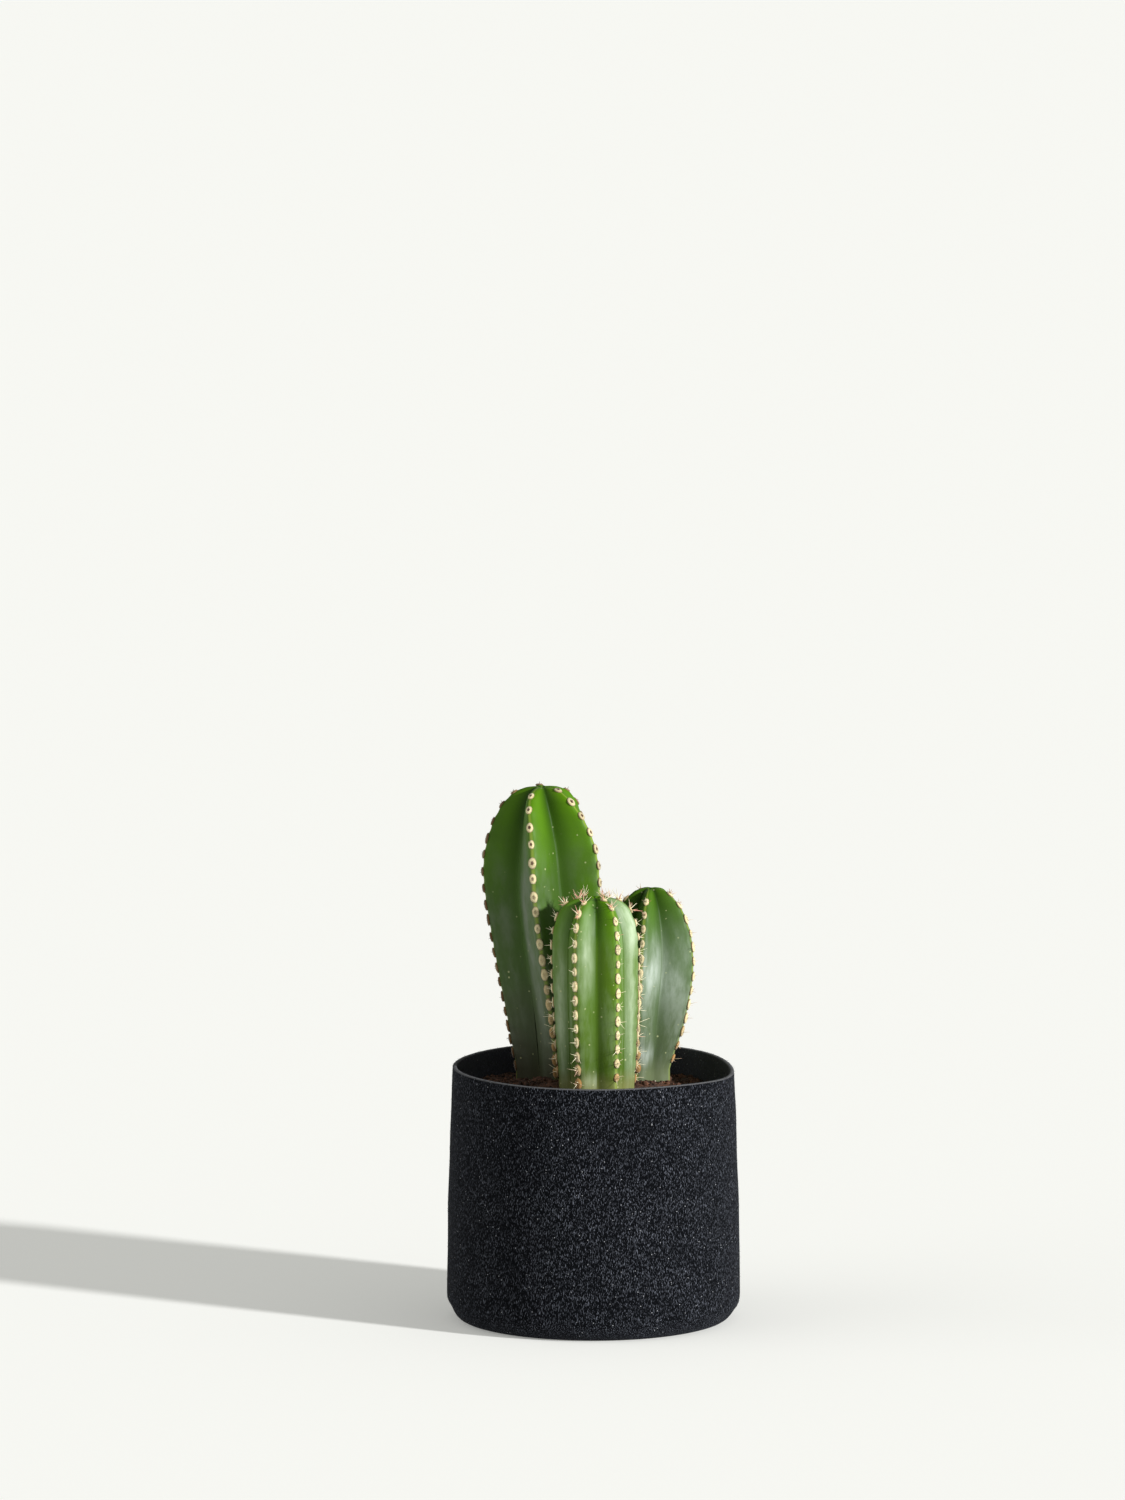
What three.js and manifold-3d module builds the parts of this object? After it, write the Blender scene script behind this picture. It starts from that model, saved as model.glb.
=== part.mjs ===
// Three ribbed column cactus stems in a round pot of soft black felt that is filled with potting soil.
// Millimetres, +Z up. The origin is the middle of the pot's base, on the surface that the pot stands on.
// Angles are in degrees, counted from the front (-Y) towards the right (+X).

import * as THREE from 'three';
import { mergeVertices } from 'three/addons/utils/BufferGeometryUtils.js';
import Module from 'manifold-3d';

const wasm = await Module();
wasm.setup();

// Room left between pieces that touch on the real plant: under the stems, round their sides in the soil,
// and between the soil and the pot.
const clearance = { under: 0.3, stem: 0.48, pot: 0.45 };

// Pressed felt pot, one piece with its base. The wall flares a little towards a rounded lower edge.
const pot = {
  height: 132,
  wall: 2.2,
  rimRadius: 73,
  widestRadius: 75.8,
  flatRadius: 65.8,
  cornerHeight: 13,
  flare: 1.7,
  rimEdge: 0.55,
  cornerSteps: 3,
  wallSteps: 3,
  segments: 44,
  colour: 0x26272a,
};

// The felt is soft, so the wall is a little out of round: [lobes, depth, turn] of each wave at the rim.
const feltWaves = [[2, 0.5, 0.8], [5, 0.25, 2.1]];

// Potting soil, heaped up a little between the stems.
const soil = {
  edgeHeight: 116.5,
  belowTop: 116,
  heap: { x: -12, y: -4, height: 8.8, spread: 35 },
  lumpHeight: 0.5,
  lumpWaves: { x: 0.21, y: 0.26, slantX: 0.47, slantY: 0.38 },
  topRings: 6,
  colour: 0x2b1d17,
};

// All stems reach down to the same height in the soil, and are straight below its surface.
const foot = { depth: 94, surface: 126 };

// The crest of a rib is blunt: crestPart of an areole's width lies on each side of its middle line, and where
// the stem is thin no more than crestShare of the half rib. The ribs run together in a hollow at the top.
const crestPart = 0.6;
const crestShare = 0.4;
const apexDip = 1.6;

// Woolly cushions on the crests that carry the spines, and one stout spine for each. Between two rows they
// sit low on the even ribs and high on the odd ones: the shares are parts of the way.
const areole = {
  height: 1,
  sunk: 0.25,
  sides: 6,
  firstRise: 0.8,
  shares: [0.25, 0.75],
  jitter: 0.05,
};
const spine = { radius: 0.4, sides: 3, root: 0.9, lean: 0.75, lift: 0.35, apart: 0.8, crownRows: 2 };

// crest: [radius, height] of the rib crests from the soil up. groove: [height, share of the crest's radius].
// base and tip: [x, y] of the stem's middle at the soil and at the top.
// upright: height where the lean ends.
// ribShares: how far each rib stands out beside the others, from the first one on.
// turn: [height, angle] of the first rib.
// areole: [width, length]. pitch: areole spacing along a crest, low and high.
// spines: [shortest, longest], and the same at the crown.
const stems = [
  {
    name: 'tall_stem',
    seed: 11,
    ribShares: [1, 1.03, 0.98, 1, 1],
    turn: [[126, -9.2], [240, -9.6], [252, -12.5], [266, -20], [274, -28]],
    base: [-15.3, 22],
    tip: [-26.2, 25],
    upright: 240,
    crest: [
      [24.8, 126], [28.2, 152], [30, 184], [31.6, 224], [30.7, 240], [27.8, 251], [23.2, 261], [17, 269],
      [10.5, 272.8], [5, 273.8],
    ],
    groove: [[126, 0.72], [150, 0.66], [215, 0.62], [240, 0.55], [274, 0.5]],
    areole: [3, 5],
    pitch: [7, 9.8],
    spines: [1.3, 1.9],
    crown: [1.5, 2.2],
    colour: 0x55752f,
  },
  {
    name: 'front_stem',
    seed: 23,
    ribShares: [1, 1, 1, 0.99, 0.95, 1],
    turn: [[126, -29], [224, -28]],
    base: [1.6, -20],
    tip: [0.8, -21.5],
    upright: 200,
    crest: [
      [19.3, 126], [20.9, 152], [22, 178], [22.1, 198], [21.3, 206.5], [19.3, 214], [15.6, 219.8],
      [10, 222.7], [4.5, 223.4],
    ],
    groove: [[126, 0.82], [160, 0.78], [206, 0.74], [224, 0.6]],
    areole: [2.5, 4.4],
    pitch: [7.2, 7.8],
    spines: [3, 4.6],
    crown: [4, 5.4],
    colour: 0x7f9c56,
  },
  {
    name: 'right_stem',
    seed: 37,
    ribShares: [1, 1.02, 1, 0.97, 0.9],
    turn: [[126, -4.5], [180, -5.3], [219, -9]],
    base: [23.8, 31],
    tip: [29.6, 36],
    upright: 230,
    crest: [
      [16.2, 126], [19.4, 136], [23.7, 150.5], [26.2, 168.5], [26.3, 182], [24.2, 195], [19.2, 207],
      [14.7, 213], [9.4, 217.5], [4.5, 218.9],
    ],
    groove: [[126, 0.8], [150, 0.66], [200, 0.6], [219, 0.5]],
    areole: [2.7, 4.4],
    pitch: [7.2, 7.8],
    spines: [2.4, 3.8],
    crown: [3, 4.6],
    colour: 0x6f8a56,
  },
];

// A solid from a closed geometry: equal points are merged and faces without area are dropped.
const mergeDistance = 1e-4;
function toSolid(geometry) {
  const bare = geometry.clone();
  bare.deleteAttribute('normal');
  bare.deleteAttribute('uv');
  const whole = mergeVertices(bare, mergeDistance);
  const corners = whole.index.array;
  const kept = [];
  for (let i = 0; i < corners.length; i += 3) {
    const [a, b, c] = corners.slice(i, i + 3);
    if (a !== b && b !== c && c !== a) kept.push(a, b, c);
  }
  const vertProperties = new Float32Array(whole.attributes.position.array);
  return new wasm.Manifold(new wasm.Mesh({ numProp: 3, vertProperties, triVerts: new Uint32Array(kept) }));
}

function toGeometry(solid) {
  const mesh = solid.getMesh();
  const geometry = new THREE.BufferGeometry();
  geometry.setAttribute('position', new THREE.BufferAttribute(new Float32Array(mesh.vertProperties), 3));
  geometry.setIndex(new THREE.BufferAttribute(new Uint32Array(mesh.triVerts), 1));
  geometry.computeVertexNormals();
  return geometry;
}

// A profile of [radius, height] points turned round the upright axis, from the front.
function turned(profile, segments) {
  const points = profile.map(([radius, height]) => new THREE.Vector2(radius, height));
  return new THREE.LatheGeometry(points, segments).rotateX(Math.PI / 2);
}

// Moves each vertex to the [radius, height] that rule(radius, angle, height) gives.
function reshape(geometry, rule) {
  const place = geometry.attributes.position;
  for (let i = 0; i < place.count; i += 1) {
    const radius = Math.hypot(place.getX(i), place.getY(i));
    const angle = Math.atan2(place.getX(i), -place.getY(i));
    const [newRadius, newHeight] = rule(radius, angle, place.getZ(i));
    place.setXYZ(i, newRadius * Math.sin(angle), -newRadius * Math.cos(angle), newHeight);
  }
  return geometry;
}

// How far the wall stands out of round at an angle, from nothing at the base to the most at the rim.
function outOfRound(angle, height) {
  const waves = feltWaves.map(([lobes, depth, turn]) => depth * Math.sin(lobes * angle + turn));
  return waves.reduce((sum, wave) => sum + wave) * Math.min(1, height / pot.height);
}

function potRadius(height) {
  const rise = Math.max(0, height - pot.cornerHeight) / (pot.height - pot.cornerHeight);
  return pot.widestRadius - (pot.widestRadius - pot.rimRadius) * rise ** pot.flare;
}

// Half of the pot's outline from the base's middle to the rim, set in from the outer face by inset.
function potOutline(inset, topHeight) {
  const corner = new THREE.EllipseCurve(
    pot.flatRadius, pot.cornerHeight,
    pot.widestRadius - pot.flatRadius - inset, pot.cornerHeight - inset,
    -Math.PI / 2, 0,
  );
  const outline = [[0, inset]];
  for (const point of corner.getPoints(pot.cornerSteps)) outline.push([point.x, point.y]);
  for (let step = 1; step <= pot.wallSteps; step += 1) {
    const height = THREE.MathUtils.lerp(pot.cornerHeight, topHeight, step / pot.wallSteps);
    outline.push([potRadius(height) - inset, height]);
  }
  return outline;
}

function makePot() {
  const outside = potOutline(0, pot.height - pot.rimEdge);
  const inside = potOutline(pot.wall, pot.height - pot.rimEdge).reverse();
  const rim = [
    [pot.rimRadius - pot.rimEdge, pot.height],
    [pot.rimRadius - pot.wall + pot.rimEdge, pot.height],
  ];
  const shell = turned([...outside, ...rim, ...inside], pot.segments);
  return reshape(shell, (radius, angle, height) => {
    const share = Math.min(1, radius / pot.flatRadius);
    return [radius + share * outOfRound(angle, height), height];
  });
}

// Height of the soil's surface: a low heap with shallow lumps.
function soilSurface(x, y) {
  const { heap, lumpWaves: wave } = soil;
  const away = Math.hypot(x - heap.x, y - heap.y) / heap.spread;
  const lumps = Math.sin(wave.x * x) * Math.sin(wave.y * y) + Math.sin(wave.slantX * x - wave.slantY * y);
  return soil.edgeHeight + heap.height * Math.exp(-away * away / 2) + soil.lumpHeight * lumps;
}

function makeSoil(holes) {
  const profile = potOutline(pot.wall + clearance.pot, soil.edgeHeight);
  const edgeRadius = profile[profile.length - 1][0];
  for (let ring = soil.topRings - 1; ring >= 0; ring -= 1) {
    profile.push([edgeRadius * (ring / soil.topRings), soil.edgeHeight]);
  }
  const filling = reshape(turned(profile, pot.segments), (radius, angle, height) => {
    const wide = radius + (radius / edgeRadius) * outOfRound(angle, height);
    const top = soilSurface(wide * Math.sin(angle), -wide * Math.cos(angle));
    return [wide, height > soil.belowTop ? top : height];
  });
  return toGeometry(holes.reduce((solid, hole) => solid.subtract(hole), toSolid(filling)));
}

// Value at a height in a list of [height, value], in straight steps.
function valueAt(list, height) {
  const upper = list.findIndex(([listed]) => listed >= height);
  if (upper === 0) return list[0][1];
  if (upper < 0) return list[list.length - 1][1];
  const [[low, lowValue], [high, highValue]] = list.slice(upper - 1, upper + 1);
  return THREE.MathUtils.mapLinear(height, low, high, lowValue, highValue);
}

// The crests' line seen from the side, as a curve of [radius, height].
function crestLine(stem) {
  return new THREE.SplineCurve(stem.crest.map(([radius, height]) => new THREE.Vector2(radius, height)));
}

const topOf = (stem) => stem.crest[stem.crest.length - 1][1];
const crestAt = (stem, height) => valueAt(stem.crest.map(([radius, level]) => [level, radius]), height);

// The stem's middle at a height: straight in the soil, then leaning towards the tip.
function middleAt(stem, height) {
  const leaned = THREE.MathUtils.smoothstep(height, foot.surface, stem.upright);
  return new THREE.Vector3(
    THREE.MathUtils.lerp(stem.base[0], stem.tip[0], leaned),
    THREE.MathUtils.lerp(stem.base[1], stem.tip[1], leaned),
    height,
  );
}

const ribCount = (stem) => stem.ribShares.length;
const ribStep = (stem) => 2 * Math.PI / ribCount(stem);

function ribAngle(stem, rib, height) {
  return THREE.MathUtils.degToRad(valueAt(stem.turn, height)) + rib * ribStep(stem);
}

const outward = (angle) => new THREE.Vector3(Math.sin(angle), -Math.cos(angle), 0);

// The points across one rib of a section, as [angle from the crest, radius]: the groove before it, then the
// two edges of its blunt crest. The flanks between them are straight.
function ribPoints(stem, rib, radius, height) {
  const crest = radius * stem.ribShares[rib];
  const half = ribStep(stem) / 2;
  const edge = Math.min(Math.atan(crestPart * stem.areole[0] / crest), half * crestShare);
  return [[-half, radius * valueAt(stem.groove, height)], [-edge, crest], [edge, crest]];
}

// Rows up a stem, one for each areole.
function stemRows(stem) {
  const line = crestLine(stem);
  const length = line.getLength();
  const rows = [];
  let along = areole.firstRise;
  while (along < length) {
    const point = line.getPointAt(along / length);
    rows.push({ radius: point.x, height: point.y });
    along += THREE.MathUtils.lerp(stem.pitch[0], stem.pitch[1], along / length);
  }
  return rows;
}

// The section's outline, as points round the stem's middle.
function sectionOutline(stem, radius, height, grow = 0) {
  return stem.ribShares.flatMap((_, rib) => {
    const middle = ribAngle(stem, rib, height);
    return ribPoints(stem, rib, radius, height)
      .map(([fromCrest, reach]) => outward(middle + fromCrest).multiplyScalar(reach + grow));
  });
}

function makeSkin(stem, rows) {
  const [radius, ground] = stem.crest[0];
  const [lastRadius, top] = stem.crest[stem.crest.length - 1];
  const levels = [
    { radius: 0, height: foot.depth },
    { radius, height: foot.depth },
    { radius, height: ground },
    ...rows,
    { radius: lastRadius, height: top },
    { radius: 0, height: top - apexDip },
  ];
  const sides = sectionOutline(stem, radius, ground).length;
  const skin = turned(levels.map((level) => [level.radius, level.height]), sides);
  const spots = skin.attributes.position;
  levels.forEach((level, floor) => {
    const middle = middleAt(stem, level.height);
    const outline = level.radius > 0 ? sectionOutline(stem, level.radius, level.height) : [];
    for (let side = 0; side <= sides; side += 1) {
      const point = middle.clone().add(outline[side % sides] ?? new THREE.Vector3());
      spots.setXYZ(side * levels.length + floor, point.x, point.y, point.z);
    }
  });
  return toSolid(skin);
}

// The hole that a stem stands in: its own outline below ground, with clearance, open at the top.
function makeHole(stem) {
  const [radius, ground] = stem.crest[0];
  const outline = sectionOutline(stem, radius, ground, clearance.stem)
    .map((point) => new THREE.Vector2(stem.base[0] + point.x, stem.base[1] + point.y));
  const depth = ground + soil.heap.height - foot.depth;
  const shaft = new THREE.ExtrudeGeometry(new THREE.Shape(outline), { depth, bevelEnabled: false });
  return toSolid(shaft.translate(0, 0, foot.depth - clearance.under));
}

// How far a point is from the flanks of the other stems, sideways. Below nought it lies inside one.
function roomToOthers(point, own) {
  const gaps = stems.filter((stem) => stem !== own && point.z < topOf(stem)).map((stem) => {
    const radius = crestAt(stem, point.z);
    const away = point.clone().sub(middleAt(stem, point.z));
    const turn = Math.atan2(away.x, -away.y) - ribAngle(stem, 0, point.z);
    const rib = Math.round(turn / ribStep(stem));
    const fromCrest = Math.abs(turn - rib * ribStep(stem));
    const nearest = THREE.MathUtils.euclideanModulo(rib, ribCount(stem));
    const [[, groove], [, crest]] = ribPoints(stem, nearest, radius, point.z);
    const half = ribStep(stem) / 2;
    const flank = (crest * groove * Math.sin(half))
      / (crest * Math.sin(fromCrest) + groove * Math.sin(half - fromCrest));
    return Math.hypot(away.x, away.y) - flank;
  });
  return Math.min(Infinity, ...gaps);
}

// A seeded random number between two limits.
const draw = (low, high) => THREE.MathUtils.lerp(low, high, THREE.MathUtils.seededRandom());

// A point on a rib's crest, part of the way from one row to the next.
function crestPoint(stem, rib, low, high, share) {
  const [from, to] = [low, high].map((row) => middleAt(stem, row.height)
    .addScaledVector(outward(ribAngle(stem, rib, row.height)), row.radius * stem.ribShares[rib]));
  return from.lerp(to, share);
}

// One areole with its spine: a low cushion that lies along the crest. A spine that would reach another stem
// is left out.
function makeAreole(stem, rib, low, high, atCrown) {
  const out = outward(ribAngle(stem, rib, low.height));
  const up = new THREE.Vector3(0, 0, 1);
  const share = areole.shares[rib % 2] + draw(-areole.jitter, areole.jitter);
  const seat = crestPoint(stem, rib, low, high, share);
  const along = crestPoint(stem, rib, low, high, 1).sub(crestPoint(stem, rib, low, high, 0)).normalize();
  const across = new THREE.Vector3().crossVectors(along, out).normalize();
  const face = new THREE.Vector3().crossVectors(across, along);
  const [width, length] = stem.areole;
  const rise = areole.height + areole.sunk;
  const spread = rise / areole.height / 2;
  const cushion = new THREE.SphereGeometry(1, areole.sides, 2)
    .rotateX(Math.PI / 2)
    .scale(width * spread, length * spread, rise)
    .translate(0, 0, -areole.sunk)
    .applyMatrix4(new THREE.Matrix4().makeBasis(across, along, face).setPosition(seat));

  const reach = draw(...(atCrown ? stem.crown : stem.spines));
  const direction = face.clone()
    .addScaledVector(across, draw(-spine.lean, spine.lean))
    .addScaledVector(along, draw(-spine.lean, spine.lean))
    .addScaledVector(up, spine.lift)
    .normalize();
  const solid = toSolid(cushion);
  if (roomToOthers(seat.clone().addScaledVector(direction, reach), stem) < spine.apart) return solid;
  const needle = new THREE.ConeGeometry(spine.radius, reach + spine.root, spine.sides)
    .translate(0, (reach - spine.root) / 2, 0)
    .applyQuaternion(new THREE.Quaternion().setFromUnitVectors(new THREE.Vector3(0, 1, 0), direction))
    .translate(seat.x, seat.y, seat.z);
  return solid.add(toSolid(needle));
}

function makeStem(stem) {
  THREE.MathUtils.seededRandom(stem.seed);
  const rows = stemRows(stem);
  let solid = makeSkin(stem, rows);
  for (let index = 1; index < rows.length; index += 1) {
    for (let rib = 0; rib < ribCount(stem); rib += 1) {
      const atCrown = index >= rows.length - spine.crownRows;
      solid = solid.add(makeAreole(stem, rib, rows[index - 1], rows[index], atCrown));
    }
  }
  return toGeometry(solid);
}

const plant = new THREE.Group();

function place(name, geometry, colour, roughness) {
  const mesh = new THREE.Mesh(geometry, new THREE.MeshStandardMaterial({ color: colour, roughness }));
  mesh.name = name;
  plant.add(mesh);
}

place('felt_pot', makePot(), pot.colour, 0.95);
place('soil', makeSoil(stems.map(makeHole)), soil.colour, 1);
for (const stem of stems) place(stem.name, makeStem(stem), stem.colour, 0.6);

export default plant;
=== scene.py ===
# A potted column cactus: three ribbed stems in dark potting soil, in a soft pot of pressed black felt.
# The dictionaries are in millimetres and degrees. The scene is in metres, +Z up, and the middle of the
# pot's base is the origin. Angles round a piece start at the front (-Y) and turn towards the right (+X).

import bmesh
import bpy
import math
import random
from mathutils import Matrix, Vector, noise
from mathutils.bvhtree import BVHTree
from mathutils.geometry import interpolate_bezier
from numpy import interp


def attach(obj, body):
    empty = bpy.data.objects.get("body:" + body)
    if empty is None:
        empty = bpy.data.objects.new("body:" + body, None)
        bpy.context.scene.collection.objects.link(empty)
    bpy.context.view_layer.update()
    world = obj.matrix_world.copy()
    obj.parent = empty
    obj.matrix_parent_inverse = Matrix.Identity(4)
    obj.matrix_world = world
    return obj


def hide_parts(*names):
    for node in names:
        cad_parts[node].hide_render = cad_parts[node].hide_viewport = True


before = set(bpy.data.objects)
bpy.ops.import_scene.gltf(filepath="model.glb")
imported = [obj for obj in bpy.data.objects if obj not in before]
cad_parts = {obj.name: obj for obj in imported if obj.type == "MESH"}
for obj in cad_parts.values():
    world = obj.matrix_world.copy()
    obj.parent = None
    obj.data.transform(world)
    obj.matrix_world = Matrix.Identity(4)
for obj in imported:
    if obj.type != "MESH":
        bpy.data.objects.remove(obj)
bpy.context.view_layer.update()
mm = 0.001
samePoint = 0.001  # vertices closer than this are one


def linearColour(text):
    channels = [int(text[i:i + 2], 16) / 255 for i in (1, 3, 5)]
    return [c / 12.92 if c <= 0.04045 else ((c + 0.055) / 1.055) ** 2.4 for c in channels] + [1.0]


def addNode(tree, kind, links=None, **settings):
    node = tree.nodes.new("ShaderNode" + kind)
    for name, value in settings.items():
        setattr(node, name, value)
    for name, value in (links or {}).items():
        if isinstance(value, bpy.types.NodeSocket):
            tree.links.new(value, node.inputs[name])
        else:
            node.inputs[name].default_value = value
    return node


def newMaterial(name, **constants):
    material = bpy.data.materials.new(name)
    material.use_nodes = True
    shader = material.node_tree.nodes["Principled BSDF"]
    for socket, value in constants.items():
        shader.inputs[socket.replace("_", " ")].default_value = value
    return material, material.node_tree, shader


def ease(value, low, high):  # from 0 at low to 1 at high, smoothly
    share = min(1, max(0, (value - low) / (high - low)))
    return share * share * (3 - 2 * share)


def outward(angle):
    return Vector((math.sin(angle), -math.cos(angle), 0))


def finishPiece(name, bm, material, smooth=True, node=None):
    bmesh.ops.scale(bm, vec=(mm, mm, mm), verts=bm.verts)
    mesh = bpy.data.meshes.new(name)
    bm.to_mesh(mesh)
    bm.free()
    mesh.materials.append(material)
    if smooth:
        mesh.shade_smooth()
    piece = bpy.data.objects.new(name, mesh)
    bpy.context.collection.objects.link(piece)
    if node:
        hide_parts(node)
    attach(piece, "root")
    mesh.calc_loop_triangles()
    print(name, "has", len(mesh.loop_triangles), "triangles")


def joinBatches(batches):  # small meshes are quick to fill, and are put together at the end
    whole = bmesh.new()
    for batch in batches:
        mesh = bpy.data.meshes.new("batch")
        batch.to_mesh(mesh)
        batch.free()
        whole.from_mesh(mesh)
        bpy.data.meshes.remove(mesh)
    return whole


def aimed(place, direction):  # a matrix at place with its Z along direction
    return Matrix.Translation(place) @ direction.to_track_quat("Z", "Y").to_matrix().to_4x4()


# The felt pot.
feltPot = {
    "height": 132, "wall": 2.2, "rimEdge": 0.6,
    "rimRadius": 73, "widestRadius": 75.8, "flatRadius": 65.8, "cornerHeight": 13,
    "flare": 1.7,  # above 1, most of the narrowing is near the rim
    "waves": [(2, 0.5, 0.8), (5, 0.25, 2.1)],  # lobes, depth and turn in radians of each wave at the rim
    "dents": {"depth": 0.35, "size": 24, "fadeAtFoot": 25, "fadeAtRim": 20},
    "folds": [  # creases where the wall turns under
        {"angle": 74, "height": 4.4, "depth": 2.2, "spread": 11, "reach": 2.2},
        {"angle": -80, "height": 6, "depth": 1.5, "spread": 12, "reach": 3},
    ],
    "sag": {"angle": 80, "depth": 2.4, "spread": 30, "from": 95},  # where the soft rim hangs a little lower
    "sides": 200, "baseSteps": 4, "cornerSteps": 10, "wallSteps": 30, "rimSteps": 6,
    "paintedInnerLightFade": (66, 110),  # heights between which the inner wall turns paler, painted light that lifts the stems' shadow on it
    "strands": {  # three sets of caught fibres, each with its turn and slant in radians
        "perMillimetre": 2.9, "slimness": 0.24, "lays": [(0.3, 0.9), (1.4, -0.5), (2.5, 0.2)],
    },
    "cloudSize": 11.11, "speckSpacing": 1.429, "speckShare": 0.07, "cutEdgeShows": 0.75,
    "black": "#050609", "fibre": "#656973", "speck": "#a5a7ab", "cutEdge": "#6a6a6c", "paintedInnerLight": "#44454c",
    "sheen": "#aab2c4",
}
feltFuzz = {
    "counts": {"wall": 4200, "rim": 1500, "inside": 900},
    "lowest": 3, "lowestInside": 118, "belowTop": 1, "belowRim": 0.5,
    "length": (0.7, 1.9), "radius": 0.055, "sunk": 0.1,
    "lift": (0.05, 0.4), "rimLean": (-0.3, 0.6),  # how steeply they stand off the felt, as slopes
    "seed": 5, "batch": 150,
    "toneSize": 2, "dark": "#0b0c0e", "pale": "#4a4c50",
}


def potRadius(height):
    widest, corner = feltPot["widestRadius"], feltPot["cornerHeight"]
    rise = max(0, height - corner) / (feltPot["height"] - corner)
    return widest - (widest - feltPot["rimRadius"]) * rise ** feltPot["flare"]


def outerRadius(height):  # round the lower corner too
    if height > feltPot["cornerHeight"]:
        return potRadius(height)
    flat, drop = feltPot["flatRadius"], 1 - height / feltPot["cornerHeight"]
    return flat + (feltPot["widestRadius"] - flat) * math.sqrt(1 - drop ** 2)


def potOutline(inset, top):  # from the base's middle up to the rim
    corner, flat = feltPot["cornerHeight"], feltPot["flatRadius"]
    outline = [(flat * step / feltPot["baseSteps"], inset) for step in range(feltPot["baseSteps"] + 1)]
    for step in range(1, feltPot["cornerSteps"] + 1):
        turn = math.pi / 2 * step / feltPot["cornerSteps"]
        outline.append((flat + (feltPot["widestRadius"] - flat - inset) * math.sin(turn),
                        corner - (corner - inset) * math.cos(turn)))
    for step in range(1, feltPot["wallSteps"] + 1):
        height = corner + (top - corner) * step / feltPot["wallSteps"]
        outline.append((potRadius(height) - inset, height))
    return outline


def putInOrder(items, place):  # the operators leave vertices and faces in another order on each run
    ranked = sorted(items, key=lambda item: tuple(place(item)))
    ranks = {item: rank for rank, item in enumerate(ranked)}
    items.sort(key=ranks.get)


def spun(profile, sides):
    bm = bmesh.new()
    corners = [bm.verts.new((radius, 0, height)) for radius, height in profile]
    for lower, upper in zip(corners, corners[1:]):
        bm.edges.new((lower, upper))
    bmesh.ops.spin(bm, geom=bm.verts[:] + bm.edges[:], cent=(0, 0, 0), axis=(0, 0, 1),
                   angle=2 * math.pi, steps=sides, use_merge=True)
    bmesh.ops.remove_doubles(bm, verts=bm.verts, dist=samePoint)
    bmesh.ops.recalc_face_normals(bm, faces=bm.faces)
    putInOrder(bm.verts, lambda vert: vert.co)
    putInOrder(bm.faces, lambda face: face.calc_center_median())
    return bm


def potSway(angle, height):  # how far the soft wall stands out of round
    waves = sum(depth * math.sin(lobes * angle + turn) for lobes, depth, turn in feltPot["waves"])
    return waves * min(1, height / feltPot["height"])


def potDent(angle, radius, height):
    dents = feltPot["dents"]
    place = outward(angle) * radius + Vector((0, 0, height))
    fade = ease(height, 0, dents["fadeAtFoot"]) * ease(feltPot["height"] - height, 0, dents["fadeAtRim"])
    dent = dents["depth"] * noise.noise(place / dents["size"]) * fade
    for fold in feltPot["folds"]:
        across = (math.degrees(angle) - fold["angle"]) / fold["spread"]
        above = (height - fold["height"]) / fold["reach"]
        dent -= fold["depth"] * math.exp(-across * across - above * above)
    return dent


def potSag(angle, height):
    sag = feltPot["sag"]
    across = (math.degrees(angle) - sag["angle"]) / sag["spread"]
    return sag["depth"] * math.exp(-across * across) * ease(height, sag["from"], feltPot["height"])


def makePot():
    edge, wall, top = feltPot["rimEdge"], feltPot["wall"], feltPot["height"]
    steps = feltPot["rimSteps"]
    rim = []
    for step in range(steps + 1):  # the cut edge, rounded at both sides
        turn = math.pi * step / steps
        side = wall / 2
        if step < steps / 2:
            side = edge
        elif step > steps / 2:
            side = wall - edge
        rim.append((feltPot["rimRadius"] - side + edge * math.cos(turn), top - edge + edge * math.sin(turn)))
    outside, inside = potOutline(0, top - edge), potOutline(wall, top - edge)
    bm = spun(outside[:-1] + rim + inside[-2::-1], feltPot["sides"])
    paintedInnerLight, cutEdge = bm.verts.layers.float.new("paintedInnerLight"), bm.verts.layers.float.new("cutEdge")
    for vert in bm.verts:
        radius, angle = math.hypot(vert.co.x, vert.co.y), math.atan2(vert.co.x, -vert.co.y)
        vert[cutEdge] = ease(vert.co.z, top - edge, top - edge / 3)
        isInner = radius < potRadius(vert.co.z) - wall + edge
        # the inner wall near the rim gets painted light, lifting the stems' shadow on it
        vert[paintedInnerLight] = ease(vert.co.z, *feltPot["paintedInnerLightFade"]) if isInner else 0
        share = min(1, radius / feltPot["flatRadius"])
        moved = radius + share * (potSway(angle, vert.co.z) + potDent(angle, radius, vert.co.z))
        vert.co = outward(angle) * moved + Vector((0, 0, vert.co.z - potSag(angle, vert.co.z)))
    return bm


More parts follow.
